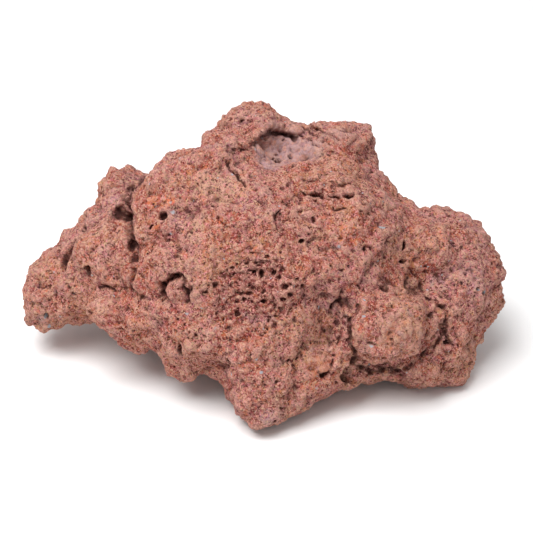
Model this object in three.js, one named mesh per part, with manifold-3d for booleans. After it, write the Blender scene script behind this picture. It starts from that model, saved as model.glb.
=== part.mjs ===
// A loose lump of red scoria (lava rock), about 210 mm long, lying on the bumps of its underside.
//
// The stone grew as one piece, so it is one solid. Its bulk is a blend of rounded lobes with a rough crust.
// Gas hollows and an undercut are cut out of it, and the bumps that it lies on are worn flat.
//
// Units are millimetres. +Z is up, +X runs along the stone's length, and the origin is on the surface that
// it lies on, under the middle of its bounding box.
import * as THREE from "three";
import { ImprovedNoise } from "three/addons/math/ImprovedNoise.js";
import { mergeVertices } from "three/addons/utils/BufferGeometryUtils.js";
import Module from "manifold-3d";

// The stone is laid out on its show side, which leans back. A place there is [across, up, out], from the
// middle of the stone: across to the right, up the leaning side, and out of it.
const SHOW_SIDE_LEAN = 30; // degrees, from upright
const GROUND = -47; // height of the surface that the stone lies on, from the middle of the stone

const BLEND = 2.4; // how far neighbouring lobes melt into each other
const DRIFT = { size: 24, reach: 4.5, apart: 90 }; // the noise that pulls the lobes out of true
const HOLLOW_DRIFT = 0.5; // the share of that noise which pulls a hollow out of true
// The crust's waves of noise, each with its size, its height and its own place in the noise field. A billowed
// wave is folded at its middle, into swellings with sharp valleys between them.
const CRUST = [
  { size: 27, height: 7, place: 11.3, billowed: true },
  { size: 12, height: 3.4, place: 47.9, billowed: true },
  { size: 6.5, height: 0.9, place: 83.1, billowed: false },
];
const BILLOW_MIDDLE = 0.26; // the usual height of a folded wave

const SEED_RADII = [96, 62, 56]; // the corners of the bulk start out evenly spread on this ellipsoid
const SEED_DETAIL = 17;
const HOLLOW_DETAIL = 3;
const REACH = 140; // further from the middle than any of the stone
const STEP = 2; // the stride of the walk in to the skin
const HALVINGS = 9; // how often the last stride is halved
const EVENING_ROUNDS = 6; // how often the corners are evened out
const SLOPE_STEP = 0.05; // the distance that a slope is measured over
const LEAST_SLOPE = 0.3; // a gentler slope than this is taken as this
const MERGE = 1e-4; // corners closer than this are one
const TINY = 1e-12; // keeps a division or a logarithm off zero

// name, centre, radii, roll in degrees, squareness (2 is round, 4 is blocky)
const LOBES = [
  ["core", [4, 0, 4], [64, 38, 42], 0, 2.6],
  ["pitted front", [-2, -8, 30], [32, 27, 20], 0, 2.8],
  ["nose", [6, -36, 26], [19, 24, 23], 0, 2.6],
  ["nose tip", [4, -58, 32], [13, 11, 13], 0, 2.6],
  ["nose keel", [28, -48, 18], [24, 15, 21], 12, 2.6],
  ["ochre slope", [-22, 23, 4], [31, 21, 32], 33, 3.4],
  ["top knob", [2, 54, -8], [12, 14, 16], 0, 2.6],
  ["knob shoulder", [-10, 38, -8], [11, 12, 16], 40, 2.6],
  ["saddle", [14, 44, -16], [14, 14, 17], 0, 2.6],
  ["top block", [36, 43, -18], [18, 16, 22], -12, 3.6],
  ["upper right", [36, 23, 0], [23, 18, 28], -30, 2.6],
  ["right shoulder", [60, 4, -2], [24, 19, 28], -20, 2.6],
  ["right end", [80, -9, -8], [26, 29, 28], 8, 3],
  ["right foot", [79, -39, 3], [15, 16, 21], 0, 3],
  ["disc bulge", [55, -28, 27], [18, 15, 16], 20, 3.4],
  ["lip under disc", [65, -40, 15], [15, 8, 15], -8, 2.6],
  ["right keel", [40, -38, 7], [20, 15, 21], 0, 2.8],
  ["left arm", [-52, 0, -2], [26, 20, 26], 25, 2.6],
  ["left shoulder", [-64, 9, -12], [14, 13, 18], 40, 2.6],
  ["left end", [-85, -12, -18], [17, 15, 20], 30, 2.6],
  ["left foot", [-84, -22, -18], [13, 11, 14], 0, 2.6],
  ["left belly", [-68, -17, -10], [16, 12, 18], 0, 2.6],
  ["left back", [-62, -2, -24], [20, 14, 16], 0, 2.6],
  ["left knob", [-56, 27, -10], [9, 13, 15], 0, 2.6],
  ["front left", [-22, -24, 27], [20, 19, 20], 0, 2.6],
  ["lower left", [-26, -33, 14], [13, 18, 20], 15, 2.6],
  ["under arm", [-48, -20, 6], [18, 19, 20], -30, 2.6],
  ["back", [6, 2, -34], [56, 28, 24], 10, 2.6],
  ["back left", [-34, 8, -30], [26, 24, 22], 20, 2.4],
  ["back right", [44, 4, -34], [26, 26, 22], -15, 2.4],
  ["back ridge", [2, 24, -34], [34, 16, 16], -8, 2.4],
  ["back heel", [22, -10, -48], [22, 14, 14], 0, 2.4],
  ["back toe", [-36, -4, -46], [16, 12, 12], 0, 2.4],
].map(([name, centre, radii, roll, squareness]) => ({
  name,
  centre: new THREE.Vector3(...centre),
  radii: new THREE.Vector3(...radii),
  roll: THREE.MathUtils.degToRad(roll),
  squareness,
}));

// Soft dents in the skin: name, centre, reach, depth
const DENTS = [
  ["pitted dish", [3, -14, 50], 19, 5],
  ["gap left of disc", [37, -24, 42], 9, 6],
  ["gap over disc", [65, -8, 38], 9, 4],
  ["gap right of disc", [81, -32, 26], 7, 5],
  ["pocket in lip", [74, -38, 30], 5, 4],
  ["left valley", [-51, 14, 20], 9, 4],
  ["arm valley", [-50, -14, 22], 7, 3],
].map(([name, centre, reach, depth]) => ({ name, centre: new THREE.Vector3(...centre), reach, depth }));

// Hollows in the show side: name, [across, up], radii, how far the middle is sunk below the skin, roll and
// pitch in degrees
const HOLLOWS = [
  ["bowl under knob", [12, 47], [14, 7, 8], 0, 6, -20],
  ["knob cave", [-30, -15], [7, 8, 7], 1, 15, 0],
  ["left crease", [-54, 17], [5, 6, 8], 2, 20, 0],
  ["left crease foot", [-47, 3], [3.5, 6, 7], 1, 10, 0],
  ["left crease head", [-49, 28], [3, 5, 6], 1, -30, 0],
  ["undercut", [49, -47], [13, 5, 11], 4, 6, 0],
  ["right crease", [63, 4], [3, 6, 5], 1, 10, 0],
  ["slots", [32, 24], [10, 3, 4], 1, -6, 0],
  ["disc step", [82, -36], [4, 7, 6], 1, 20, 0],
].map(([name, [across, up], radii, sunk, roll, pitch]) => ({
  name,
  across,
  up,
  radii,
  sunk,
  roll: THREE.MathUtils.degToRad(roll),
  pitch: THREE.MathUtils.degToRad(pitch),
}));

const OUT = new THREE.Vector3(0, 0, 1); // out of the show side, and the axis of a roll
const standUp = new THREE.Matrix4().makeRotationX(Math.PI / 2 - THREE.MathUtils.degToRad(SHOW_SIDE_LEAN));
const noise = new ImprovedNoise();

// Distance from a point to a lobe's surface along the line to its middle, less than nothing inside it.
function distanceToLobe(point, { centre, radii, roll, squareness }) {
  const inLobe = point.clone().sub(centre);
  const distance = inLobe.length();
  inLobe.applyAxisAngle(OUT, -roll).divide(radii);
  const size = inLobe.toArray().reduce((sum, x) => sum + Math.abs(x) ** squareness, 0);
  return distance - distance / Math.max(size ** (1 / squareness), TINY);
}

// How far noise pulls the lobes out of true at a point.
function driftAt({ x, y, z }) {
  const { size, reach, apart } = DRIFT;
  const wave = (a, b, c) => reach * noise.noise(a / size, b / size, c / size);
  return new THREE.Vector3(wave(x + apart, y, z), wave(x, y + apart, z), wave(x, y, z + apart));
}

// The height of the crust over the blended lobes at a point.
function crustAt(point) {
  const { x, y, z } = point;
  let total = 0;
  for (const { centre, reach, depth } of DENTS) {
    total -= depth * Math.exp(-point.distanceToSquared(centre) / reach ** 2);
  }
  for (const { size, height, place, billowed } of CRUST) {
    const wave = noise.noise(x / size + place, y / size - place, z / size + place / 2);
    total += height * (billowed ? Math.abs(wave) - BILLOW_MIDDLE : wave);
  }
  return total;
}

// Distance from a point to the stone's skin, less than nothing inside it.
function distanceToSkin(point) {
  const pulled = driftAt(point).add(point);
  const sum = LOBES.reduce((total, lobe) => total + Math.exp(-distanceToLobe(pulled, lobe) / BLEND), 0);
  return -BLEND * Math.log(sum + Number.MIN_VALUE) - crustAt(point);
}

// The first point of the skin on the way from one place towards another.
function skinBetween(outside, inside) {
  const whole = outside.distanceTo(inside);
  const pointAt = (travel) => outside.clone().lerp(inside, travel / whole);
  let far = STEP;
  while (far < whole && distanceToSkin(pointAt(far)) > 0) far += STEP;
  let near = far - STEP;
  for (let halving = 0; halving < HALVINGS; halving++) {
    const middle = (near + far) / 2;
    if (distanceToSkin(pointAt(middle)) > 0) near = middle;
    else far = middle;
  }
  return pointAt(near);
}

// The way out of the skin at a point, as long as the distance grows fast there.
function slopeAt(point) {
  const here = distanceToSkin(point);
  const growth = ["x", "y", "z"].map((axis) => {
    const there = point.clone();
    there[axis] += SLOPE_STEP;
    return (distanceToSkin(there) - here) / SLOPE_STEP;
  });
  return new THREE.Vector3(...growth);
}

// A closed surface whose faces share their corners.
function closeUp(geometry) {
  geometry.deleteAttribute("normal");
  geometry.deleteAttribute("uv");
  return mergeVertices(geometry, MERGE);
}

// Moves each corner by a rule that is given its place and its number.
function moveCorners(geometry, rule) {
  const corners = geometry.getAttribute("position");
  for (let i = 0; i < corners.count; i++) {
    const place = rule(new THREE.Vector3().fromBufferAttribute(corners, i), i);
    corners.setXYZ(i, place.x, place.y, place.z);
  }
  return geometry;
}

// For each corner, the numbers of the corners that it shares an edge with.
function neighboursOf(geometry) {
  const neighbours = Array.from({ length: geometry.getAttribute("position").count }, () => new Set());
  const faces = geometry.index.array;
  faces.forEach((corner, i) => {
    const next = faces[i % 3 === 2 ? i - 2 : i + 1];
    neighbours[corner].add(next);
    neighbours[next].add(corner);
  });
  return neighbours;
}

// Evens out the corners: each moves to the middle of its neighbours, and from there back onto the skin.
function evenOut(geometry) {
  const neighbours = neighboursOf(geometry);
  for (let round = 0; round < EVENING_ROUNDS; round++) {
    const before = geometry.getAttribute("position").clone();
    moveCorners(geometry, (corner, i) => {
      corner.set(0, 0, 0);
      for (const j of neighbours[i]) corner.add(new THREE.Vector3().fromBufferAttribute(before, j));
      corner.divideScalar(neighbours[i].size);
      const slope = slopeAt(corner);
      return corner.addScaledVector(slope, -distanceToSkin(corner) / Math.max(slope.lengthSq(), LEAST_SLOPE));
    });
  }
  return geometry;
}

// The bulk of the stone: a ball whose corners are moved onto the skin.
function makeBulk() {
  const seedRadii = new THREE.Vector3(...SEED_RADII);
  const middle = new THREE.Vector3();
  const ball = closeUp(new THREE.IcosahedronGeometry(1, SEED_DETAIL));
  return evenOut(
    moveCorners(ball, (corner) => skinBetween(corner.multiply(seedRadii).setLength(REACH), middle)),
  );
}

// A gas hollow, as the ball of rock that it takes out of the show side.
function makeHollow({ across, up, radii, sunk, roll, pitch }) {
  const mouth = skinBetween(new THREE.Vector3(across, up, REACH), new THREE.Vector3(across, up, 0));
  const hollow = closeUp(new THREE.IcosahedronGeometry(1, HOLLOW_DETAIL))
    .scale(...radii)
    .applyMatrix4(new THREE.Matrix4().makeRotationFromEuler(new THREE.Euler(pitch, 0, roll)))
    .translate(mouth.x, mouth.y, mouth.z - sunk);
  return moveCorners(hollow, (corner) => corner.addScaledVector(driftAt(corner), HOLLOW_DRIFT));
}

// Everything below the surface that the stone lies on, once it stands up.
function makeWornAway() {
  return closeUp(new THREE.BoxGeometry(4 * REACH, 4 * REACH, REACH)).translate(0, 0, GROUND - REACH / 2);
}

const wasm = await Module();
wasm.setup();

function toSolid(geometry) {
  return new wasm.Manifold(
    new wasm.Mesh({
      numProp: 3,
      vertProperties: new Float32Array(geometry.getAttribute("position").array),
      triVerts: new Uint32Array(geometry.index.array),
    }),
  );
}

function toGeometry(solid) {
  const mesh = solid.getMesh();
  const geometry = new THREE.BufferGeometry();
  geometry.setAttribute("position", new THREE.BufferAttribute(mesh.vertProperties, 3));
  geometry.setIndex(new THREE.BufferAttribute(mesh.triVerts, 1));
  return geometry;
}

function makeStone() {
  const bulk = toSolid(makeBulk());
  const hollowed = HOLLOWS.reduce((solid, hollow) => solid.subtract(toSolid(makeHollow(hollow))), bulk);
  const upright = toGeometry(hollowed).applyMatrix4(standUp);
  return toGeometry(toSolid(upright).subtract(toSolid(makeWornAway())));
}

const stone = makeStone();
stone.computeBoundingBox();
const middle = stone.boundingBox.getCenter(new THREE.Vector3());
stone.translate(-middle.x, -middle.y, -stone.boundingBox.min.z);
stone.computeVertexNormals();

const scoria = new THREE.MeshStandardMaterial({ color: 0xa3705f, roughness: 0.95, metalness: 0 });
const lavaRock = new THREE.Mesh(stone, scoria);
lavaRock.name = "lava_rock";

const part = new THREE.Group();
part.add(lavaRock);
export default part;
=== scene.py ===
"""A loose lump of red scoria (lava rock), as it lies on its worn bumps.

The stone's visible skin starts from the solid and is roughened in four passes: swellings and layers, then
the ledges and the knob of its show side, then crumbs and pores all over, and last the show side's cracks
and gas holes. Lengths are in millimetres wherever a name or comment doesn't say otherwise; Blender's own
unit is the metre.
"""

import math

import bmesh
import bpy
import numpy as np
from mathutils import Matrix, Vector, noise


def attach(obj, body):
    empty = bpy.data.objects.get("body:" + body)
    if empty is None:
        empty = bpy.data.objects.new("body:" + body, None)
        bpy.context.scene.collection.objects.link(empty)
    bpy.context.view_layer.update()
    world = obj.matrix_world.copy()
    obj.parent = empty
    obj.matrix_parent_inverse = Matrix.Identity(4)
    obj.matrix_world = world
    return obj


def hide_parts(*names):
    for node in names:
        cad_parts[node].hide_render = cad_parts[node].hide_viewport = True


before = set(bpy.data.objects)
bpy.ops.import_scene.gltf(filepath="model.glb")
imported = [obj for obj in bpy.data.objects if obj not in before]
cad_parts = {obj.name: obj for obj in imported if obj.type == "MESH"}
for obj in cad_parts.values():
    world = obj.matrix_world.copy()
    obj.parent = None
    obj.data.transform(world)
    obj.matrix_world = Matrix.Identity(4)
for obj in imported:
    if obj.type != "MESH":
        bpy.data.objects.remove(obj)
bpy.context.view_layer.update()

MM = 0.001
NODE = "lava_rock"
STONE = "stone"

# The show side leans back. A place on it is (across, up, out) from the middle of the stone.
SHOW_SIDE_LEAN = 30
MIDDLE = (-5.8, 5.2, 47.0)
FROM_SHOW_SIDE = (
    Matrix.Scale(MM, 4)
    @ Matrix.Translation(MIDDLE)
    @ Matrix.Rotation(math.radians(90 - SHOW_SIDE_LEAN), 4, "X")
)

# The camera looks straight at the show side.
VIEW_CENTRE = (7, -5)
VIEW_DISTANCE = 636
LENS = 100

NOISE_SEED = 3  # without it, the way that wander pulls would change from run to run
MERGE = 1e-3 * MM
COARSE = 1.0 * MM  # the first skin's grid, which one subdivision halves
ROUNDING = 10  # rounds of smoothing that melt the solid's facets
WORN_HEIGHT = 3  # up to here above the ground the skin is worn, and its roughness fades
GROOVE_ROOM = 3  # how far in and out of its route a groove still cuts
FILM_ROUNDS = 400
FILM_REACH = 0.9993  # how fast the film draws tight: nearer 1 for wider films
FILM_EDGE = 0.02  # how far inside its oval a film starts
OUTLINE_REACH = 1.2  # how far past its radius an outline change fades out
KNOB_HEIGHT = 5.0
MOST_TRIANGLES = 196_000
THINNING_STEPS = 10
THINNING_GRADE = 0.07  # how much less the skin is thinned, for each step that it faces the show side
CUT_DEPTH = 3  # cracks and holes from this depth on get the full painted shade
CRACK_SPREAD = 1.2  # how much wider than a crack its painted shade is
HOLE_SPREAD = 1.15  # how much wider than a hole its painted shade is
PIT_ROUNDS = 6  # rounds of averaging that tell how far a pore is sunk
HOLLOW_ROUNDS = 60  # further rounds, for creases and caves
WHITE = (1, 1, 1, 1)
PAPER = (0.9, 0.9, 0.9, 1)
PAPER_ROUGHNESS = 0.9
FLOOR_HALF = 6  # metres
BUMP_HEIGHT = 1.0
SPECULAR = 0.2
LAMP_PLACE = (-0.3, -0.3, 1.05)  # metres
LAMP_AIM = (0, 0, 0.04)  # metres
LAMP_SIZE = 0.8  # metres
LAMP_POWER = 16.5
ROOM_LIGHT = 0.54

noise.seed_set(NOISE_SEED)


# ---------------------------------------------------------------------------------------------- noise

def wave(places, size, seed, octaves=1):
    """Smooth noise from about -1 to 1 at each place, with swellings about `size` apart."""
    return np.array([noise.fractal(p, 1.0, 2.0, octaves) for p in (places / size + seed).tolist()])


def billow(places, size, seed, octaves=1):
    """Noise folded into rounded swellings with sharp valleys between them, from about -0.5 to 1."""
    return np.array([noise.turbulence(p, octaves, True) for p in (places / size + seed).tolist()])


def wander(places, size, reach, seed):
    """The places, each pulled up to about `reach` aside, so that what is drawn there isn't clean."""
    return places + reach * np.array([noise.noise_vector(p) for p in (places / size + seed).tolist()])


def cells(places, size, seed):
    """For the nearest of many points strewn about `size` apart: how far it is, how much further the next
    one is, and its luck, from 0 to 1."""
    found = [noise.voronoi(p) for p in (places / size + seed).tolist()]
    near = np.array([distances[0] for distances, _ in found]) * size
    after = np.array([distances[1] for distances, _ in found]) * size
    apart = 91.7  # takes two neighbours' points to cells of their own
    luck = np.array([noise.cell(points[0] * apart) for _, points in found]) / 2 + 0.5
    return near, after - near, luck


def ease(low, high, values):
    """0 below low, 1 above high, and a smooth step between."""
    t = np.clip((values - low) / (high - low), 0, 1)
    return t * t * (3 - 2 * t)


# ------------------------------------------------------------------------------------------- the skin

def finished_mesh(piece):
    """The piece's mesh with its modifiers in it."""
    bpy.context.view_layer.update()
    mesh = bpy.data.meshes.new_from_object(piece.evaluated_get(bpy.context.evaluated_depsgraph_get()))
    piece.modifiers.clear()
    return mesh


def start_skin():
    """An even, rounded skin over the solid, on the show side's own axes."""
    solid = bmesh.new()
    solid.from_mesh(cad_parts[NODE].data)
    bmesh.ops.remove_doubles(solid, verts=solid.verts, dist=MERGE)
    mesh = bpy.data.meshes.new(STONE)
    solid.to_mesh(mesh)
    solid.free()
    stone = bpy.data.objects.new(STONE, mesh)
    bpy.context.scene.collection.objects.link(stone)
    even = stone.modifiers.new("even", "REMESH")
    even.mode = "VOXEL"
    even.voxel_size = COARSE
    rounded = stone.modifiers.new("rounded", "SMOOTH")
    rounded.iterations = ROUNDING
    finer = stone.modifiers.new("finer", "SUBSURF")
    finer.levels = 1
    finer.render_levels = 1
    stone.data = finished_mesh(stone)
    stone.data.transform(FROM_SHOW_SIDE.inverted())
    return stone


def places_of(mesh):
    """Where each corner point of the skin is."""
    places = np.empty(len(mesh.vertices) * 3)
    mesh.vertices.foreach_get("co", places)
    return places.reshape(-1, 3)


def normals_of(mesh):
    """The way out of the skin at each corner point."""
    normals = np.empty(len(mesh.vertices) * 3)
    mesh.vertex_normals.foreach_get("vector", normals)
    return normals.reshape(-1, 3)


def put(mesh, places):
    """Moves each corner point to its place."""
    mesh.vertices.foreach_set("co", places.ravel())
    mesh.update()


def above_ground(places):
    """How high each place is over the surface that the stone lies on."""
    up = FROM_SHOW_SIDE.to_3x3()[2]
    return (places @ np.array(up) + FROM_SHOW_SIDE[2][3]) / MM


def raise_skin(mesh, heights):
    """Moves the skin out by the heights. It fades near the ground, where the stone is worn."""
    places = places_of(mesh)
    put(mesh, places + normals_of(mesh) * (heights * ease(0, WORN_HEIGHT, above_ground(places)))[:, None])


def wear_flat(mesh):
    """Nothing reaches below the ground."""
    mesh.transform(FROM_SHOW_SIDE)
    places = places_of(mesh)
    places[:, 2] = np.maximum(places[:, 2], 0)
    put(mesh, places)


# -------------------------------------------------------------------------- features of the show side

def spot_on(stone, across, up):
    """The place on the skin at (across, up), and the way out of it there."""
    hit, place, normal, _ = stone.ray_cast(Vector((across, up, 200)), Vector((0, 0, -1)))
    return np.array(place if hit else (across, up, 0)), np.array(normal if hit else (0, 0, 1))


def way_out(stone, across, up):
    """The way out of the skin around (across, up), whatever the crumbs right there do."""
    ways = [spot_on(stone, across + x, up + y)[1] for x in (-2, 0, 2) for y in (-2, 0, 2)]
    mean = np.mean(ways, axis=0)
    return mean / np.linalg.norm(mean)


def oval(stone, places, across, up, wide, tall, turn=0.0, sharp=0.45):
    """How far inside an oval on the skin each place is: 1 in its middle, 0 outside it."""
    middle, _ = spot_on(stone, across, up)
    out = way_out(stone, across, up)
    turn = math.radians(turn)
    along = np.array((math.cos(turn), math.sin(turn), 0))
    along = along - out * (along @ out)
    along /= np.linalg.norm(along)
    beside = np.cross(out, along)
    reach = 1.2 * max(wide, tall)
    near = np.flatnonzero(np.abs(places - middle).max(axis=1) < reach)
    away = places[near] - middle
    how_far = np.sqrt(
        (away @ along / wide) ** 2 + (away @ beside / tall) ** 2 + (away @ out / reach) ** 2
    )
    inside = np.zeros(len(places))
    inside[near] = 1 - ease(1 - sharp, 1, how_far)
    return inside


def groove(stone, places, route, width):
    """How far inside a groove along a route on the skin each place is: 1 on the route, 0 outside it."""
    spots = np.array([spot_on(stone, *point)[0] for point in route])
    room = np.array((width, width, GROOVE_ROOM))
    close = np.all((places > spots.min(axis=0) - room) & (places < spots.max(axis=0) + room), axis=1)
    close = np.flatnonzero(close)
    nearest = np.full(len(close), np.inf)
    for start, end in zip(spots, spots[1:]):
        whole = (end - start)[:2]
        away = (places[close] - start)[:, :2]
        share = np.clip(away @ whole / (whole @ whole), 0, 1)
        nearest = np.minimum(nearest, np.linalg.norm(away - share[:, None] * whole, axis=1))
    inside = np.zeros(len(places))
    inside[close] = 1 - ease(0.2, 1, nearest / width)
    return inside


# across, up, half width, half height, turn, depth
HOLES = [
    (-54.5, 17.4, 4.6, 4.2, 30, 2.6), (-51.6, 15.8, 2.8, 3.6, 10, 5.4), (-49.5, 28, 2.6, 1.5, -20, 3.2),
    (-53, 24, 3, 2.5, 0, 1.5), (-49, 11, 1.3, 1.5, 0, 2), (-47.6, 4, 2.6, 3.2, 10, 3.4),
    (-46.6, 3, 1.4, 2.4, 10, 4.0), (-46.4, -0.8, 0.9, 2.0, 5, 3), (-34.6, 15.6, 2.6, 2.1, 25, 3.6),
    (-40, 11, 0.9, 1.2, 0, 2), (-34, 5.5, 1.4, 0.9, 10, 1.6), (-25, 8, 1.5, 0.8, 20, 1.4),
    (-79, -5, 1.2, 2.0, 0, 3), (-67.5, -7, 2.0, 2.8, -10, 4), (-48, -13.5, 1.2, 2.0, 15, 3),
    (-75, -17, 1.6, 1.2, 0, 2), (-67, -24, 1.2, 1.6, 0, 2), (-87.5, -26, 1.2, 1.8, 10, 2.2),
    (-87, -30.5, 0.8, 1.0, 0, 1.5), (-73, -31, 0.9, 0.9, 0, 1.5), (-91, -14, 1.4, 1.0, 0, 1.2),
    (-28.5, -39, 1.3, 3.0, 8, 4), (-21, -32, 1.6, 1.0, -20, 1.8), (-8.5, -43, 1.0, 1.8, 5, 1.6),
    (-17, -46, 1.2, 1.6, 20, 1.5), (-3, 57, 1.3, 0.9, 0, 2), (-4.8, 54.6, 0.8, 0.7, 0, 1.4),
    (-3.0, 54.4, 0.7, 0.6, 0, 1.3), (-0.6, 57, 0.8, 0.7, 0, 1.3), (-1.5, 55.5, 0.7, 0.6, 0, 1.2),
    (11, 40, 2.6, 1.4, 0, 4.2), (11.2, 42.8, 1.4, 1.1, 0, 2.2), (17.5, 42, 1.6, 1.5, 0, 3.2),
    (18, 36.6, 1.8, 1.3, 0, 3.0), (14.6, 49, 0.7, 0.6, 0, 1.2), (27, 24.2, 3.4, 1.4, -5, 5.0),
    (35, 22.8, 3.4, 0.8, -8, 1.8), (38, 27.5, 2.4, 1.0, 12, 1.8), (40, 24, 2.4, 1.3, 5, 4.8),
    (22, 30.4, 1.8, 0.6, 10, 1.3), (36, 18.5, 2.6, 0.7, -5, 1.4), (30, 28.5, 2.4, 0.6, -15, 1.0),
    (15.5, 28, 1.0, 0.9, 30, 1.5), (13, 26.5, 1.1, 0.7, 20, 1.5), (47, 20.5, 1.5, 1.0, 20, 2),
    (48.5, 16.5, 1.1, 0.7, 0, 1.4), (21.4, 17, 0.9, 1.0, 20, 1.4), (16, 17, 0.8, 1.3, -20, 1.4),
    (10.2, 15, 0.7, 2.2, 10, 1.6), (11.5, 11.5, 0.6, 1.6, -10, 1.2), (21.4, 5.2, 1.5, 1.5, -40, 3),
    (24, 8, 0.9, 0.7, 0, 1.5), (19.5, 7, 0.8, 0.6, 0, 1.2), (1, 0.6, 1.2, 0.6, 0, 1.4),
    (7, -1.2, 1.5, 0.7, -20, 1.8), (2.8, -3.8, 1.2, 0.7, 0, 1.8), (37, -6, 1.6, 0.7, 0, 1.5),
    (40.4, -4.8, 0.9, 0.8, 0, 1.6), (46.6, 2.2, 0.7, 1.2, 0, 1.5), (49, 2.2, 0.8, 1.3, 0, 1.7),
    (55.2, -14, 2.5, 2.4, 0, 3.2), (63.4, 4, 1.1, 3.0, -10, 3.6), (62.5, -3, 1.8, 1.2, 0, 2.2),
    (67, -7.5, 1.6, 0.9, -35, 1), (84, 4.4, 2.6, 0.9, -22, 2.8), (67.4, 15.6, 1.1, 1.0, 0, 2),
    (62, 17.4, 0.8, 1.1, 0, 1.5), (74, 16, 1.2, 0.9, 0, 1.6), (71.2, 14, 0.9, 0.6, 30, 1.3),
    (90, -8, 1.1, 1.0, 20, 1.6), (98, -16, 1.0, 1.6, -20, 2), (95, -15, 0.9, 1.3, 0, 1.6),
    (82, -37, 1.8, 1.6, -30, 3), (81, -46, 0.9, 2.0, 0, 2.6), (83.5, -21, 1.0, 0.7, 10, 1.3),
    (86.6, -25.5, 0.8, 0.9, 0, 1.3), (54.4, -41.5, 1.2, 0.8, 0, 1.2), (49, -36, 2.2, 1.2, 0, 1.2),
    (47, -23, 1.2, 0.7, 20, 1.3), (34.5, -40.5, 1.6, 0.9, -25, 2), (36, -52, 1.2, 0.8, 0, 1),
    (16, -42.5, 1.2, 0.8, 50, 1.6), (12.2, -42.2, 0.7, 1.1, -10, 1.5), (19, -42, 0.9, 0.6, 30, 1.4),
    (5.2, -42.2, 0.8, 0.7, 0, 1.3), (4, -52.6, 0.8, 0.6, 0, 1.1), (7.4, -52.6, 0.7, 0.6, 0, 1.1),
    (-16, -53, 1.0, 0.8, 0, 1.2), (39.5, -25, 1.8, 1.2, 20, 1.8),
    # the pits of the round patch in the middle
    (4.6, -8.2, 1.3, 1.7, -30, 3.2), (1.8, -7.0, 2.2, 0.9, 8, 2.0), (15, -12.8, 1.8, 1.3, 10, 2.8),
    (16.6, -16, 1.5, 0.9, 0, 2.2), (13, -18.2, 1.2, 0.8, -30, 2.2), (-2.4, -15.6, 1.8, 1.1, 0, 2.0),
    (-2.4, -18.2, 1.1, 0.9, 0, 2.0), (1.2, -18.8, 0.8, 0.9, 0, 2.0), (5.6, -19, 1.4, 1.0, 0, 2.6),
    (10, -18, 0.8, 0.9, 0, 1.6), (-17.4, -15.6, 1.4, 1.2, 0, 2.4), (-13, -12.4, 2.2, 0.8, 8, 1.6),
    (12, -9, 0.9, 1.6, -30, 1.8), (21.6, -13, 0.9, 1.6, 10, 2.0), (22.8, -16, 0.8, 0.9, 0, 1.5),
    (-13, -23.4, 0.9, 0.7, 0, 1.4), (-10.2, -25.4, 0.9, 1.2, 0, 2.0), (-8.6, -29.6, 1.5, 0.6, 15, 1.4),
    (-18, -32.6, 1.5, 0.6, -20, 1.4), (-7, -5, 1.6, 0.8, 20, 1.4), (13.6, -5.4, 0.7, 1.2, -10, 1.4),
    (19.6, -10, 1.2, 0.9, 40, 1.6), (-5, -11, 1.4, 0.7, -10, 1.3), (9, -13, 1.0, 0.8, 0, 1.3),
    (-9, -18, 1.0, 0.8, 0, 1.3), (18, -26, 0.8, 1.0, 0, 1.3), (3, -27, 0.9, 0.7, 0, 1.2),
    (-6.5, -7.5, 0.9, 0.8, 0, 1.3),
]

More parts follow.
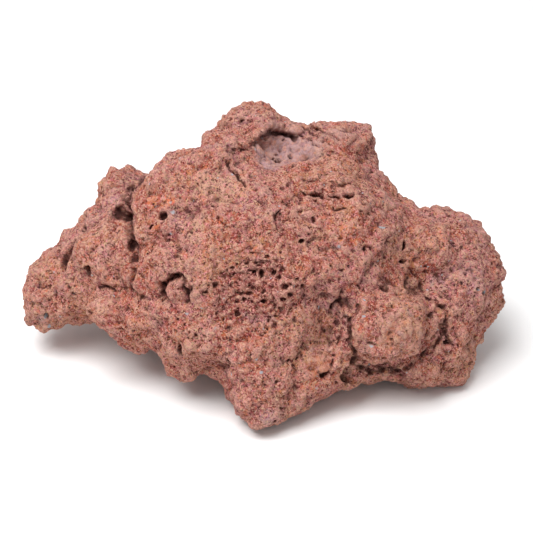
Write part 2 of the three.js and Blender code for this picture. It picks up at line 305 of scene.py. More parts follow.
# route, half width, depth
CRACKS = [
    ([(-9, 37.5), (-7, 34), (-4, 31.5), (-1.5, 27.5)], 0.9, 3.0),
    ([(-35.4, -15.4), (-34.4, -13), (-33.0, -10.6), (-30.6, -9.2)], 1.5, 5.0),
    ([(-34.6, -12), (-34.8, -15), (-33.8, -18)], 1.9, 5.6),
    ([(-30.6, -9.2), (-28, -8.8), (-26, -10.6), (-24.8, -14), (-24.4, -19)], 1.7, 5.4),
    ([(-44, -17.5), (-40, -18.4), (-36.5, -16.6)], 1.4, 1.8),
    ([(-45, 33), (-48.5, 29), (-51.5, 23), (-50.5, 17.5), (-49, 11), (-47.5, 5), (-47, -2)], 3.4, 2.4),
    ([(-44.5, 34), (-47, 30.5), (-50.5, 25), (-50.5, 19)], 1.3, 4.4),
    ([(-50, 15), (-48.8, 10.5), (-48, 5), (-46.6, -2.5)], 1.3, 4.0),
    ([(22, 31), (26, 30)], 0.8, 1.4),
    ([(24, 24.6), (29, 23.8)], 1.0, 2.2),
    ([(22, 56), (28, 51.5), (34, 47.5)], 0.7, 1.8),
    ([(25, 57), (31, 52.8), (37, 49)], 0.6, 1.5),
    ([(19.5, 52.5), (25, 49), (30, 45.5)], 0.7, 1.6),
    ([(28, 58), (36, 54), (44, 52)], 0.6, 1.2),
    ([(33, 29), (37, 28.2), (41, 28.8)], 0.9, 2.2),
    ([(27, 21), (31, 20.2)], 0.7, 1.6),
    ([(34, 18.6), (39, 18)], 0.8, 1.8),
    ([(12, 16.5), (10.6, 12)], 0.7, 2.0),
    ([(16, 18), (14.8, 14)], 0.6, 1.5),
    ([(-10, 45), (-4.5, 42.8), (0, 44.5), (4, 48), (7, 51)], 1.2, 1.8),
    ([(45, -44), (52, -47.6), (62, -48.4), (70, -43.5), (75.5, -38.5)], 1.7, 2.4),
    ([(74.5, -40), (80.5, -33.5), (82, -27), (80.5, -21.5), (74, -18.5)], 1.6, 2.4),
    ([(-51.5, 30), (-52.5, 23), (-50, 17), (-48.5, 11)], 1.2, 2.6),
    ([(38, -14.5), (36.5, -18), (34, -20.5), (33, -24)], 1.1, 3.2),
    ([(33, -24), (36, -29), (37, -34), (34, -40)], 1.2, 1.4),
    ([(43.5, -12), (46.5, -15.5), (47, -17)], 0.7, 1.5),
    ([(34, -43.5), (32.5, -46.5), (30, -49)], 1.1, 1.8),
    ([(12, -61), (15.5, -62.6), (18, -62)], 0.9, 1.2),
    ([(-71, 11), (-72.5, 8), (-75, 3.5), (-78, 0.5), (-80, -5)], 2.0, 5.0),
    ([(-63, -13.5), (-58.5, -13.4), (-54, -14.8)], 1.1, 1.8),
    (
        [(-50.5, 29), (-51.5, 23), (-51, 17), (-49, 11), (-47.5, 5), (-47, -3), (-48, -9), (-48.5, -13)],
        1.6, 2.0,
    ),
    ([(6, 50), (8, 51.6), (12, 52.2), (17, 51.2), (20, 49.5)], 1.7, 4.0),
    ([(66, -5.5), (70, -10), (73, -16), (74.5, -21)], 1.0, 1.0),
    ([(44, -21), (40.6, -26), (40.2, -32), (41.5, -38), (44.5, -43.5), (50, -46.5), (57, -45.6)], 1.6, 2.2),
    ([(79.5, -31), (81.6, -34), (84.5, -37.6)], 1.2, 2.4),
    ([(41.5, -42.5), (45, -46), (50, -48.5), (56, -48.5), (60, -46.5)], 2.2, 2.6),
    ([(23, 54), (27, 51), (32, 46.5)], 0.7, 0.9),
    ([(26.4, 47), (31, 45)], 0.6, 0.8),
    ([(24.5, 56), (29, 52.6), (35, 48)], 0.6, 0.7),
    ([(-9, 43), (-6.5, 41.6), (-4, 41.8)], 1.0, 1.6),
    ([(-44, 8.5), (-38, 9), (-34, 7), (-28, 9.5), (-23, 8.5)], 1.1, 1.2),
    ([(36, -20), (38.6, -23), (37.6, -27), (39.5, -30)], 0.9, 1.6),
    ([(56, -44), (59, -47.5), (64, -50.5)], 1.4, 1.6),
]

# route, half width, height
RIDGES = [
    ([(-70.5, 8), (-73, 3), (-76, -1), (-77.5, -6)], 1.8, 1.0),
    ([(-64, -11), (-58, -11.2), (-53, -12)], 2.0, 1.2),
    ([(-10, 48), (-4, 46), (1, 48), (4.5, 51.5), (8, 54.6), (14, 55.6), (19, 53)], 4.0, 1.5),
    ([(46.5, -22), (43.2, -27), (42.8, -33), (45, -39), (50, -43.5), (56, -43)], 2.6, 0.8),
    ([(75.5, -20.5), (77, -26), (76, -30.5), (72, -35), (69, -39)], 1.8, 1.2),
    ([(-33, -24), (-27, -25), (-21, -29)], 2.0, 0.8),
]


# across, up, half width, half height, turn, share: hollows of the solid that are shallower on the real skin
SHALLOW = [
    (14, 44, 17, 12, 0, 0.8), (32, 24, 14, 7, -5, 1.0), (50, -47, 17, 9, 0, 0.9), (61, 1, 13, 15, -15, 0.9),
    (-54, 17, 9, 9, 0, 0.75), (82, -36, 8, 7, 0, 0.7), (-49, 28, 7, 6, 0, 0.7), (-47, 3, 8, 9, 0, 0.7),
    (-30, -15, 10, 10, 0, 0.7), (40, -51, 6, 5, 0, 0.8),
]

# across, up, half width, half height, turn, height: flat-topped plates and lobes that stand out
PLATES = [
    (61, -33, 18, 13, 8, 2.6), (27, -43.5, 11, 8, 15, 1.0), (-1, 54, 13, 8, -8, 1.6),
    (-62, 3, 12, 14, 0, 1.2),
    (-37, -6, 11, 8, 10, 1.2), (-36, 22, 12, 9, 30, 0.8), (47, 4, 13, 11, 0, 0.8),
    (-84, -20, 10, 12, 0, 0.8),
    (78, 8, 10, 9, 0, 0.8), (40, 48, 14, 9, -10, 0.9), (3, -26, 14, 5, 5, 0.8), (70, -46, 11, 4, 0, 1.0),
]

# across, up, radius, height: where the outline, seen from the show side, swells or shrinks
OUTLINE = [
    (-62, 36, 8, -3.0), (-72, 18, 7, 3.0), (-82, 8, 8, 2.2), (-93, -1, 8, -2.6), (-26, 47, 9, -2.6),
    (-5, 63, 7, -1.5), (15, 59, 6, 2.2), (45, 57, 7, -1.6), (55, 42, 5, 1.5), (59, 31, 7, 3.0),
    (75, 20, 5, -1.5), (81, 22, 2.6, 2.6), (89, 19, 6, -2.6), (101, 8, 9, 2.6), (110, -16, 8, -3.0),
    (99, -36, 6, 3.2), (96, -54, 7, -2.0), (-102, -22, 7, -1.8), (-98, -38, 5, 2.0),
]


def film(mesh, places, inside):
    """The places, with those inside an area drawn tight across it, as a soap film would be."""
    edges = np.empty(len(mesh.edges) * 2, dtype=np.int32)
    mesh.edges.foreach_get("vertices", edges)
    edges = edges.reshape(-1, 2)
    edges = edges[inside[edges].any(axis=1)]
    members, edges = np.unique(edges, return_inverse=True)
    edges = edges.reshape(-1, 2)
    one, other = edges.T
    count = np.bincount(edges.ravel(), minlength=len(members))
    free = inside[members]
    drawn = places[members]
    before = drawn.copy()
    pull = 1.0
    for _ in range(FILM_ROUNDS):
        after = drawn.copy()
        for axis in range(3):
            column = drawn[:, axis]
            sums = np.bincount(one, column[other], len(members))
            sums = sums + np.bincount(other, column[one], len(members))
            after[free, axis] = (pull * (sums / count - before[:, axis]) + before[:, axis])[free]
        before, drawn = drawn, after
        pull = 1 / (1 - FILM_REACH**2 * (0.5 if pull == 1 else 0.25 * pull))
    result = places.copy()
    result[members] = drawn
    return result


def reshape(stone):
    """Moves the skin's broad forms from the solid's to the stone's own."""
    bpy.context.view_layer.update()
    mesh = stone.data
    places = places_of(mesh)
    for across, up, wide, tall, turn, most in SHALLOW:
        inside = oval(stone, places, across, up, wide, tall, turn, sharp=0.6) > FILM_EDGE
        places += most * (film(mesh, places, inside) - places)
    put(mesh, places)
    bpy.context.view_layer.update()
    places = places_of(mesh)
    loose = wander(places, size=2.5, reach=1.0, seed=8.3)
    loose = wander(loose, size=8, reach=2.5, seed=4.7)
    heights = np.zeros(len(places))
    for across, up, wide, tall, turn, height in PLATES:
        plate = oval(stone, loose, across, up, wide, tall, turn, sharp=0.3)
        heights = np.maximum(heights, height * plate)
    edge_on = 1 - np.abs(normals_of(mesh)[:, 2])
    for across, up, radius, height in OUTLINE:
        away = np.hypot(places[:, 0] - across, places[:, 1] - up) / radius
        heights += height * (1 - ease(0, OUTLINE_REACH, away)) * edge_on
    raise_skin(mesh, heights)


def sculpt_ridges(stone):
    """Raises the ledges along the cracks, and the small knob in its cave."""
    bpy.context.view_layer.update()
    mesh = stone.data
    places = places_of(mesh)
    loose = wander(places, size=1.5, reach=0.4, seed=8.2)
    loose = wander(loose, size=3.6, reach=1.0, seed=4.1)
    heights = np.zeros(len(places))
    for route, width, height in RIDGES:
        heights += height * groove(stone, loose, route, width)
    raise_skin(mesh, heights)
    places = places_of(mesh)
    knob = oval(stone, loose, across=-29.2, up=-15.2, wide=4.3, tall=6.4, turn=14, sharp=0.8)
    knob = knob * (0.8 + 0.5 * wave(places, size=4, seed=5.2, octaves=3))
    put(mesh, places + (KNOB_HEIGHT * knob)[:, None] * way_out(stone, across=-29.6, up=-15))


def ragged(places):
    """The places, pulled aside so that the cracks and holes drawn there have ragged edges."""
    return wander(wander(places, size=1.3, reach=0.5, seed=8.2), size=3.6, reach=1.2, seed=4.1)


def carve(stone):
    """Cuts the cracks and gas holes, each straight into the rock."""
    bpy.context.view_layer.update()
    mesh = stone.data
    places = places_of(mesh)
    loose = ragged(places)
    uneven = 0.35 + 0.95 * ease(-0.5, 0.5, wave(places, size=4.0, seed=2.8, octaves=2))
    depths = np.zeros(len(places))
    ways = np.zeros((len(places), 3))
    for route, width, depth in CRACKS:
        cut = depth * uneven * groove(stone, loose, route, width)
        deeper = cut > depths
        depths[deeper] = cut[deeper]
        ways[deeper] = np.mean([way_out(stone, *point) for point in route], axis=0)
    for across, up, wide, tall, turn, depth in HOLES:
        cut = depth * oval(stone, loose, across, up, wide, tall, turn)
        deeper = cut > depths
        depths[deeper] = cut[deeper]
        ways[deeper] = way_out(stone, across, up)
    put(mesh, places - depths[:, None] * ways)


# ------------------------------------------------------------------------------- texture all over it

def swell(mesh):
    """Broad swellings and worn layers."""
    places = places_of(mesh)
    loose = wander(places, size=14, reach=3.5, seed=7.7)
    swellings = wave(loose, size=17, seed=3.1, octaves=2)
    layers = billow(loose, size=11, seed=5.9, octaves=3) - 0.45
    raise_skin(mesh, 1.1 * swellings + 3.1 * layers)


def lumps(places, size, seed):
    """Rounded crumbs packed together: from about -1 in the seams to 1 on the crumbs that stand out."""
    near, border, luck = cells(places, size, seed)
    return 1.1 * (0.55 - near / size) + 1.2 * (luck - 0.5) * ease(0, 0.3 * size, border)


# across, up, half width, half height, turn, share: smooth places, and how much calmer they are than the rest
BOWL = (15, 42, 20, 14, 0)
SMOOTH = [
    (*BOWL, 0.75), (27, -43.5, 10, 7, 15, 0.4), (42, 49, 15, 9, -10, 0.45), (61, -32, 16, 11, 8, 0.3),
]


def crumble(stone):
    """A crust of crumbs on crumbs. It is calmer where the skin is smooth."""
    mesh = stone.data
    places = places_of(mesh)
    loose = wander(places, size=6, reach=1.8, seed=2.3)
    calm = np.ones(len(places))
    for across, up, wide, tall, turn, share in SMOOTH:
        calm -= share * oval(stone, places, across, up, wide, tall, turn, sharp=0.5)
    heights = 0.95 * lumps(loose, size=6.3, seed=0.6)
    heights += 0.23 * lumps(wander(loose, size=2, reach=0.6, seed=1.2), size=2.9, seed=9.2)
    heights += 0.28 * lumps(places, size=1.35, seed=4.9)
    gnawed = ease(0.15, 0.6, wave(loose, size=3.4, seed=6.5, octaves=3))
    gnawed += 0.5 * ease(0.1, 0.5, wave(places, size=1.6, seed=1.4, octaves=2))
    raise_skin(mesh, (heights - 0.45 * gnawed) * calm)


def pores(places, apart, share, radius, depth, seed):
    """How far the pores sink the skin at each place. The share of the cells, `apart` from each other, that
    has one may change from place to place."""
    near, _, luck = cells(wander(places, size=1.6, reach=0.4, seed=seed), apart, seed)
    size = radius * (0.55 + 0.9 * luck / np.maximum(share, 1e-6))
    return depth * (luck < share) * (1 - ease(0.45, 1, near / size))


def bore_pores(stone):
    """Pores of three sizes: most in the round pitted patch and among the slots, few in the smooth bowl."""
    mesh = stone.data
    places = places_of(mesh)
    pitted = oval(stone, places, across=3, up=-14, wide=24, tall=19, sharp=0.5)
    slotted = oval(stone, places, across=33, up=25, wide=15, tall=8, turn=-6, sharp=0.5)
    smooth = oval(stone, places, *BOWL, sharp=0.5)
    patchy = ease(-0.3, 0.5, wave(places, size=22, seed=1.7))
    share = (0.04 + 0.14 * patchy + 0.42 * pitted + 0.25 * slotted) * (1 - 0.85 * smooth)
    flattened = np.array((0.75, 1.2, 1.0))
    stretched = wander(places, size=7, reach=2.0, seed=7.1) * flattened
    flat = np.maximum(pitted, slotted)[:, None]
    warped = places * (1 - flat) + stretched * flat
    small = pores(places, apart=2.2, share=share * 1.3, radius=0.62, depth=1.1, seed=3.3)
    middling = pores(warped, apart=3.0, share=share * 0.8, radius=0.85, depth=1.6, seed=8.8)
    large = pores(places, apart=8.0, share=share, radius=1.4, depth=2.2, seed=5.2)
    gnawed = wave(wander(warped, size=3, reach=1.2, seed=3.5), size=2.5, seed=2.6, octaves=3)
    sunk = np.maximum(small, middling)
    sunk = sunk + 0.9 * pitted * ease(0.1, 0.5, gnawed)
    raise_skin(mesh, -np.maximum(sunk, large))


def thin_out(stone):
    """Fewer triangles: the most on the show side, and where the skin is rough."""
    mesh = stone.data
    mesh.calc_loop_triangles()
    facing = ease(-0.5, 0.3, normals_of(mesh)[:, 2])
    plain = stone.vertex_groups.new(name="plain")
    for step in range(THINNING_STEPS + 1):
        members = np.flatnonzero(np.round(facing * THINNING_STEPS) == step)
        plain.add(members.tolist(), 1 - THINNING_GRADE * step, "REPLACE")
    thinner = stone.modifiers.new("thinner", "DECIMATE")
    thinner.vertex_group = "plain"
    thinner.vertex_group_factor = 1
    thinner.ratio = MOST_TRIANGLES / len(mesh.loop_triangles)
    stone.data = finished_mesh(stone)
    stone.vertex_groups.clear()


# --------------------------------------------------------------------------------------------- paint

# name, then (across, up, half width, half height, turn, share) for each patch of that colour
PATCHES = {
    "ochre": [
        (-13, 26, 15, 12, -20, 0.9), (-20, 10, 13, 8, 0, 0.5), (24, 4, 8, 7, 0, 0.4),
        (-33, 33, 8, 6, 0, 0.4), (66, -14, 8, 8, 0, 0.45), (-62, -20, 14, 8, 0, 0.35),
        (-22, -34, 10, 8, 0, 0.3), (30, 42, 9, 6, -30, 0.35), (-26, -4, 12, 6, 0, 0.4),
        (50, 4, 10, 6, 0, 0.3), (-90, -4, 8, 10, 0, 0.3), (60, -8, 14, 7, 20, 0.3),
    ],
    "orange": [
        (-41, 23, 6, 4, 20, 1.0), (-33, 21, 6, 4, 0, 0.7), (22, -52, 12, 6, 20, 0.35),
        (-4, 28, 5, 5, 0, 0.3), (40, 6, 10, 7, 0, 0.35), (78, 6, 9, 9, 0, 0.3),
    ],
    "purple": [
        (15, 42, 25, 17, 0, 1.1), (8, 38, 12, 8, 10, 0.9), (92, -8, 12, 20, 0, 0.45),
        (11, -66, 9, 5, 0, 0.9), (36, 3, 6, 4, 0, 0.5), (-57, 25, 5, 4, 0, 0.7), (-3, 55, 9, 5, 0, 0.45),
        (-88, -28, 7, 7, 0, 0.6), (56, 24, 9, 7, 0, 0.35), (-72, 10, 7, 7, 0, 0.4),
        (-25, -24, 4, 3, 0, 0.4), (47, -37, 5, 4, 0, 0.4), (20, 44, 8, 4, 0, 0.6),
        (36, 50, 18, 9, -8, 0.45), (2, -26, 10, 4, 0, 0.45), (-62, 0, 7, 6, 0, 0.4),
        (78, -12, 8, 8, 0, 0.5),
    ],
    # dark red patches: partly the rock's own dark red, as on the round pitted patch, partly painted shade
    # along cracks and hollows, under the lip below the bowl, in the undercut and along the bottom edge
    "ember_and_shade": [
        (3, -14, 25, 18, 0, 1.0), (32, 24, 14, 8, -6, 0.7), (73, -38, 5, 4, 0, 0.9),
        (-50, 14, 7, 12, 0, 0.6), (50, -46, 13, 5, 0, 1.0), (38, -30, 5, 14, 0, 0.6),
        (12, -60, 16, 8, 0, 0.5), (-20, -44, 14, 8, 0, 0.5), (64, -5, 6, 6, 0, 0.4),
        (-30, -15, 8, 8, 0, 0.4), (-35, 15, 5, 4, 0, 0.8), (-33, 7, 10, 3, 0, 0.6),
        (8, -66, 14, 7, 0, 0.8), (66, -50, 16, 4, 0, 0.5), (-60, -26, 30, 5, -12, 0.4),
        (22, 50, 12, 3, -35, 0.4), (12, 51, 8, 2.5, 0, 0.9),
    ],
    "calm": [
        (15, 42, 25, 17, 0, 1.0), (8, 38, 12, 8, 10, 0.9), (38, 50, 18, 9, -10, 0.4),
        (61, -32, 16, 11, 8, 0.5), (27, -43.5, 10, 7, 15, 0.5), (-88, -30, 6, 6, 0, 0.5),
    ],
    "ash": [
        (-31, 17, 2.0, 1.6, 0, 0.6), (-32, 21, 1.3, 1.2, 0, 0.6), (5, -47, 1.3, 1.3, 0, 1.0),
        (3, -42, 1.0, 1.0, 0, 0.9), (28, -21.5, 1.2, 0.9, 0, 0.9), (54, 11, 3.0, 0.9, 0, 0.8),
        (98, -16, 1.0, 1.5, 0, 0.9), (95.5, -14.5, 1.2, 1.0, 0, 0.8), (78, -31, 1.0, 1.0, 0, 1.0),
        (49, -37, 1.6, 1.4, 0, 0.8), (46, -25, 1.2, 1.0, 0, 0.8), (65, -41.5, 1.4, 1.0, 0, 0.8),
        (-25, -24, 1.6, 1.2, 0, 0.6), (36, 3, 2.2, 1.2, 0, 0.6), (-88, -26, 1.0, 2.2, 0, 1.0),
        (-87, -31, 0.8, 1.4, 0, 1.0), (-72, -33, 0.9, 0.9, 0, 0.9), (17, 42, 1.8, 1.6, 0, 0.5),
        (-36, 27, 1.0, 0.9, 0, 0.6), (84, 6, 1.4, 0.8, 0, 0.6),
    ],
}


def lay(mesh, name, values):
    """Keeps one value for each corner point of the skin, for the finish to read."""
    mesh.attributes.new(name, "FLOAT", "POINT").data.foreach_set("value", values.astype(np.float32))


def spread(mesh, values, rounds):
    """The values, each made the mean of its neighbours' again and again."""
    edges = np.empty(len(mesh.edges) * 2, dtype=np.int32)
    mesh.edges.foreach_get("vertices", edges)
    one, other = edges.reshape(-1, 2).T
    count = np.bincount(edges, minlength=len(values))
    for _ in range(rounds):
        for column in values.T:
            sums = np.bincount(one, column[other], len(values))
            sums = sums + np.bincount(other, column[one], len(values))
            column[:] = sums / count
    return values


def paint(stone):
    """Where the finish changes: its patches of colour, some of the dark red ones painted shade; its cracks
    and holes, which it darkens as painted shade; and how far each place is sunk below its surroundings,
    which it darkens as painted shade where sunk and makes paler where it stands out, partly as painted
    highlight."""
    bpy.context.view_layer.update()
    mesh = stone.data
    places = places_of(mesh)
    out = normals_of(mesh)
    far = wander(wander(places, size=3, reach=1.5, seed=3.8), size=11, reach=4, seed=6.1)
    near = wander(places, size=1.4, reach=0.6, seed=3.8)
    for name, patches in PATCHES.items():
        loose = near if name == "ash" else far
        values = np.zeros(len(places))
        for across, up, wide, tall, turn, share in patches:
            patch = oval(stone, loose, across, up, wide, tall, turn, sharp=0.8)
            values = np.maximum(values, share * patch)
        lay(mesh, name, values)
    # painted shade in the cracks and holes, darkest in the deepest
    cut = np.zeros(len(places))
    loose = ragged(places)
    for route, width, depth in CRACKS:
        crack = groove(stone, loose, route, CRACK_SPREAD * width)
        cut = np.maximum(cut, min(1, depth / CUT_DEPTH) * crack)
    for across, up, wide, tall, turn, depth in HOLES:
        hole = oval(stone, loose, across, up, HOLE_SPREAD * wide, HOLE_SPREAD * tall, turn)
        cut = np.maximum(cut, min(1, depth / CUT_DEPTH) * hole)
    lay(mesh, "cut", cut * ease(-0.6, 0.2, wave(places, size=2.4, seed=2.8, octaves=2)))
    # how far each place is sunk below its surroundings: the finish darkens what is sunk as painted shade,
    # and makes what stands out paler
    near_by = spread(mesh, places.copy(), PIT_ROUNDS)
    lay(mesh, "pit", np.sum((near_by - places) * out, axis=1))
    # how far each place is sunk in broader creases and caves, which the finish darkens as painted shade
    further = spread(mesh, near_by, HOLLOW_ROUNDS)
    lay(mesh, "hollow", np.sum((further - places) * out, axis=1))


def make_stone():
    """The whole stone, from the solid's even skin to its paint."""
    stone = start_skin()
    reshape(stone)
    swell(stone.data)
    sculpt_ridges(stone)
    crumble(stone)
    bore_pores(stone)
    carve(stone)
    thin_out(stone)
    paint(stone)
    wear_flat(stone.data)
    stone.data.shade_smooth()
    return stone


# --------------------------------------------------------------------------------------- the set

def make_camera():
    """It looks straight at the show side."""
    data = bpy.data.cameras.new("camera")
    data.lens = LENS
    camera = bpy.data.objects.new("camera", data)
    place = FROM_SHOW_SIDE @ Vector((*VIEW_CENTRE, VIEW_DISTANCE))
    camera.matrix_world = Matrix.LocRotScale(place, FROM_SHOW_SIDE.to_quaternion(), None)
    bpy.context.scene.collection.objects.link(camera)
    bpy.context.scene.camera = camera


def make_floor():
    """A plain sheet of pale paper."""
    sheet = bmesh.new()
    bmesh.ops.create_grid(sheet, x_segments=1, y_segments=1, size=FLOOR_HALF)
    mesh = bpy.data.meshes.new("floor")
    sheet.to_mesh(mesh)
    sheet.free()
    floor = bpy.data.objects.new("floor", mesh)
    bpy.context.scene.collection.objects.link(floor)
    paper = bpy.data.materials.new("paper")
    paper.use_nodes = True
    surface = paper.node_tree.nodes["Principled BSDF"]
    surface.inputs["Base Color"].default_value = PAPER
    surface.inputs["Roughness"].default_value = PAPER_ROUGHNESS
    mesh.materials.append(paper)


def make_lights():
    """Even light from all round, and one broad soft lamp above the stone's left."""
    world = bpy.data.worlds.new("room")
    world.use_nodes = True
    background = world.node_tree.nodes["Background"]
    background.inputs["Color"].default_value = WHITE
    background.inputs["Strength"].default_value = ROOM_LIGHT
    bpy.context.scene.world = world
    lamp = bpy.data.lights.new("key", "AREA")
    lamp.size = LAMP_SIZE
    lamp.energy = LAMP_POWER
    key = bpy.data.objects.new("key", lamp)
    key.location = LAMP_PLACE
    key.rotation_euler = (Vector(LAMP_AIM) - key.location).to_track_quat("-Z", "Y").to_euler()
    bpy.context.scene.collection.objects.link(key)


# -------------------------------------------------------------------------------------------- finish

class Recipe:
    """Shader nodes made by name, each returning its main output."""

    def __init__(self, name):
        self.material = bpy.data.materials.new(name)
        self.material.use_nodes = True
        self.nodes = self.material.node_tree.nodes
        self.links = self.material.node_tree.links
        self.surface = self.nodes["Principled BSDF"]

    def feed(self, socket, value):
        """Link another node's output to the socket, or set it to a plain value."""
        if isinstance(value, bpy.types.NodeSocket):
            self.links.new(value, socket)
        else:
            socket.default_value = value

    def node(self, kind, inputs, **settings):
        """A new node with its settings made and its inputs fed."""
        node = self.nodes.new(kind)
        for name, value in settings.items():
            setattr(node, name, value)
        for name, value in inputs.items():
            self.feed(node.inputs[name], value)
        return node

    def vector(self, operation, inputs):
        """A sum on vectors."""
        return self.node("ShaderNodeVectorMath", inputs, operation=operation).outputs[0]

    def millimetres(self):
        """The place on the stone, in millimetres."""
        place = self.node("ShaderNodeTexCoord", {}).outputs["Object"]
        return self.vector("SCALE", {0: place, "Scale": 1 / MM})

    def noise(self, place, size, detail=3, roughness=0.6, distortion=0.0):
        """Noise from 0 to 1 with swellings about `size` apart."""
        inputs = {"Vector": place, "Scale": 1 / size, "Detail": detail, "Roughness": roughness}
        return self.node("ShaderNodeTexNoise", inputs | {"Distortion": distortion}).outputs["Fac"]

    def wandering(self, place, size, reach):
        """The place, pulled aside by up to about half the reach."""
        inputs = {"Vector": place, "Scale": 1 / size, "Detail": 2}
        aside = self.node("ShaderNodeTexNoise", inputs).outputs["Color"]
        aside = self.vector("SUBTRACT", {0: aside, 1: (0.5, 0.5, 0.5)})
        aside = self.vector("SCALE", {0: aside, "Scale": reach})
        return self.vector("ADD", {0: place, 1: aside})

    def cells(self, place, size):
        """Cells about `size` across, each with a colour of its own."""
        return self.node("ShaderNodeTexVoronoi", {"Vector": place, "Scale": 1 / size})

    def parts(self, colour):
        """A colour's red, green and blue, which serve as three separate lucks."""
        return self.node("ShaderNodeSeparateColor", {0: colour}).outputs

    def laid(self, name):
        """What was laid on the skin under this name."""
        return self.node("ShaderNodeAttribute", {}, attribute_name=name).outputs["Fac"]

    def ramp(self, value, low, high, from_=0.0, to=1.0):
        """A smooth step: `from_` where the value is low, `to` where it is high."""
        inputs = {"Value": value, "From Min": low, "From Max": high, "To Min": from_, "To Max": to}
        return self.node("ShaderNodeMapRange", inputs, interpolation_type="SMOOTHSTEP").outputs[0]

    def all_of(self, operation, values):
        """The values taken together, one after another."""
        total = values[0]
        for value in values[1:]:
            total = self.node("ShaderNodeMath", {0: total, 1: value}, operation=operation).outputs[0]
        return total

    def sum(self, *values):
        return self.all_of("ADD", values)

    def times(self, *values):
        return self.all_of("MULTIPLY", values)

    def blend(self, share, below, above, how="MIX"):
        """One colour laid over another, by the share of it that shows."""
        node = self.nodes.new("ShaderNodeMix")
        node.data_type = "RGBA"
        node.blend_type = how
        self.feed(node.inputs[0], share)
        self.feed(node.inputs[6], below)
        self.feed(node.inputs[7], above)
        return node.outputs[2]

    def tint(self, body, colour, value, low, high, most):
        """The body with a colour over it: none where the value is low, `most` where it is high."""
        return self.blend(self.ramp(value, low, high, to=most), body, colour)


BRICK = (0.45, 0.118, 0.073, 1)
ROSE = (0.48, 0.225, 0.190, 1)
OCHRE = (0.60, 0.345, 0.190, 1)
TAN = (0.76, 0.500, 0.350, 1)
ORANGE = (0.82, 0.27, 0.110, 1)
PURPLE = (0.52, 0.345, 0.350, 1)
EMBER = (0.27, 0.062, 0.057, 1)
# painted shade: the dark laid into pores, sunk places, creases, caves, cracks and holes
PAINTED_SHADE = (0.056, 0.018, 0.015, 1)
MAROON = (0.130, 0.029, 0.024, 1)
# the pale dust of the grains, also used as a painted highlight on what stands out
DUST_AND_HIGHLIGHT = (0.70, 0.405, 0.315, 1)
ASH = (0.44, 0.43, 0.46, 1)
# what a grain's own colour is multiplied by, from one kind of grain to the other
SALLOW = (0.92, 1.00, 0.85, 1)
FLUSHED = (1.00, 0.74, 0.91, 1)

# the colour of each kind of patch, and the most that it covers
PATCH_COLOURS = {
    # dark red, partly the rock's own, partly painted shade
    "ember_and_shade": (EMBER, 0.8),
    "purple": (PURPLE, 0.85),
    "ochre": (TAN, 0.85),
    "orange": (ORANGE, 0.9),
}


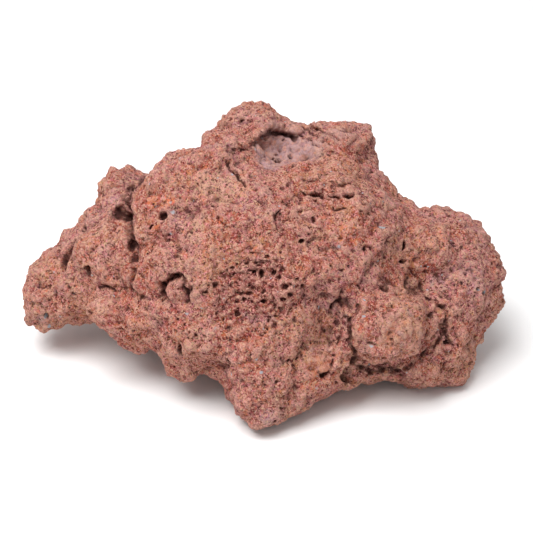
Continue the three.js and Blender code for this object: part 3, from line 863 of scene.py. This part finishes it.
def scoria():
    """Red scoria: broad and small patches of colour, some of them painted shade, coloured grains, painted
    shade in its pores, creases, cracks and holes, paler places that stand out, partly wear and partly
    painted highlight, and a few pale grains.
    """
    recipe = Recipe("scoria")
    place = recipe.millimetres()
    loose = recipe.wandering(place, size=3.0, reach=2.2)
    tangled = recipe.wandering(loose, size=0.9, reach=0.7)

    bedded = recipe.noise(recipe.wandering(place, size=12, reach=9), size=34, detail=3)
    broad = recipe.noise(place, size=20, detail=4)
    mottled = recipe.noise(loose, size=5.5, detail=5, roughness=0.7)
    veined = recipe.noise(loose, size=3.0, detail=3)
    worms = recipe.noise(tangled, size=0.85, detail=3, roughness=0.75, distortion=0.8)
    grit = recipe.noise(place, size=0.45, detail=2, roughness=0.8)
    crumbs = recipe.cells(tangled, size=1.3)
    kind, shade, crumb_hue = recipe.parts(crumbs.outputs["Color"])
    tiny = recipe.cells(tangled, size=0.52)
    hue, dark, light = recipe.parts(tiny.outputs["Color"])
    calm = recipe.laid("calm")

    # the rock's own colours, from the broadest to the crumbs
    body = recipe.blend(recipe.ramp(broad, 0.42, 0.58), BRICK, ROSE)
    body = recipe.tint(body, OCHRE, bedded, 0.5, 0.62, most=0.6)
    body = recipe.tint(body, PURPLE, bedded, 0.48, 0.38, most=0.45)
    body = recipe.tint(body, OCHRE, mottled, 0.51, 0.64, most=0.7)
    body = recipe.tint(body, EMBER, mottled, 0.48, 0.34, most=0.6)
    body = recipe.tint(body, PURPLE, veined, 0.54, 0.68, most=0.55)
    body = recipe.tint(body, ORANGE, veined, 0.46, 0.33, most=0.5)
    for name, (colour, most) in PATCH_COLOURS.items():
        frayed = recipe.sum(recipe.laid(name), recipe.ramp(mottled, 0.3, 0.7, from_=-0.3, to=0.3))
        body = recipe.tint(body, colour, frayed, 0.1, 0.7, most)
    body = recipe.tint(body, ORANGE, kind, 0.75, 0.8, most=0.3)
    body = recipe.tint(body, EMBER, kind, 0.15, 0.1, most=0.35)
    body = recipe.tint(body, DUST_AND_HIGHLIGHT, shade, 0.8, 0.85, most=0.3)
    plain = body

    # the grains, which the calm places mostly lack
    body = recipe.tint(body, DUST_AND_HIGHLIGHT, worms, 0.52, 0.64, most=0.2)
    body = recipe.tint(body, MAROON, worms, 0.45, 0.36, most=0.4)
    body = recipe.tint(body, MAROON, grit, 0.46, 0.32, most=0.7)
    body = recipe.tint(body, MAROON, dark, 0.81, 0.83, most=0.85)
    body = recipe.tint(body, DUST_AND_HIGHLIGHT, light, 0.72, 0.74, most=0.9)
    body = recipe.blend(1.0, body, recipe.blend(hue, SALLOW, FLUSHED), "MULTIPLY")
    body = recipe.blend(0.6, body, recipe.blend(crumb_hue, SALLOW, FLUSHED), "MULTIPLY")
    body = recipe.tint(body, plain, calm, 0, 0.8, most=0.7)

    # painted shade in pores too small to be cut, in what is sunk, in creases and caves, and in the cut
    # cracks and holes;
    # what stands out is paler, partly wear and partly painted highlight
    small = recipe.cells(tangled, size=1.6)
    pit = recipe.times(
        recipe.ramp(small.outputs["Distance"], 0.33, 0.2),
        recipe.ramp(recipe.noise(place, size=4, detail=2), 0.45, 0.55),
        recipe.ramp(calm, 0.2, 0.8, from_=1, to=0.15),
    )
    # painted shade of the small pores
    body = recipe.blend(recipe.times(pit, 0.75), body, PAINTED_SHADE)
    sunk = recipe.laid("pit")
    # painted shade in what is sunk below its surroundings
    body = recipe.tint(body, PAINTED_SHADE, sunk, 0.12, 0.7, most=0.6)
    # painted shade in creases and caves
    body = recipe.tint(body, PAINTED_SHADE, recipe.laid("hollow"), 0.5, 2.6, most=0.6)
    # paler on what stands out: partly worn edges, partly painted highlight
    body = recipe.tint(body, DUST_AND_HIGHLIGHT, sunk, -0.05, -0.4, most=0.3)
    # painted shade in the cracks and holes
    body = recipe.tint(body, PAINTED_SHADE, recipe.laid("cut"), 0.1, 0.9, most=0.8)

    # pale mineral grains
    grains = recipe.cells(tangled, size=3.1)
    luck, _, _ = recipe.parts(grains.outputs["Color"])
    speck = recipe.times(
        recipe.ramp(grains.outputs["Distance"], 0.18, 0.1),
        recipe.ramp(luck, 0.84, 0.97),
    )
    ashen = recipe.ramp(recipe.sum(recipe.laid("ash"), recipe.times(grit, 0.5)), 0.5, 0.85)
    body = recipe.blend(recipe.sum(speck, ashen), body, ASH)

    height = recipe.sum(
        recipe.times(worms, 0.65),
        recipe.times(grit, 0.6),
        recipe.times(light, 0.25),
        recipe.times(pit, -0.5),
        recipe.times(mottled, 0.6),
    )
    bump = recipe.node("ShaderNodeBump", {"Strength": 1.0, "Distance": BUMP_HEIGHT * MM, "Height": height})
    roughness = recipe.ramp(worms, 0.3, 0.7, from_=0.98, to=0.82)
    surface = recipe.surface.inputs
    recipe.feed(surface["Base Color"], body)
    recipe.feed(surface["Roughness"], roughness)
    recipe.feed(surface["Normal"], bump.outputs[0])
    surface["Specular IOR Level"].default_value = SPECULAR
    return recipe.material


make_camera()
stone = make_stone()
stone.data.materials.clear()
stone.data.materials.append(scoria())
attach(stone, "root")
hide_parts(NODE)
make_floor()
make_lights()
bpy.context.scene.view_settings.view_transform = "Standard"
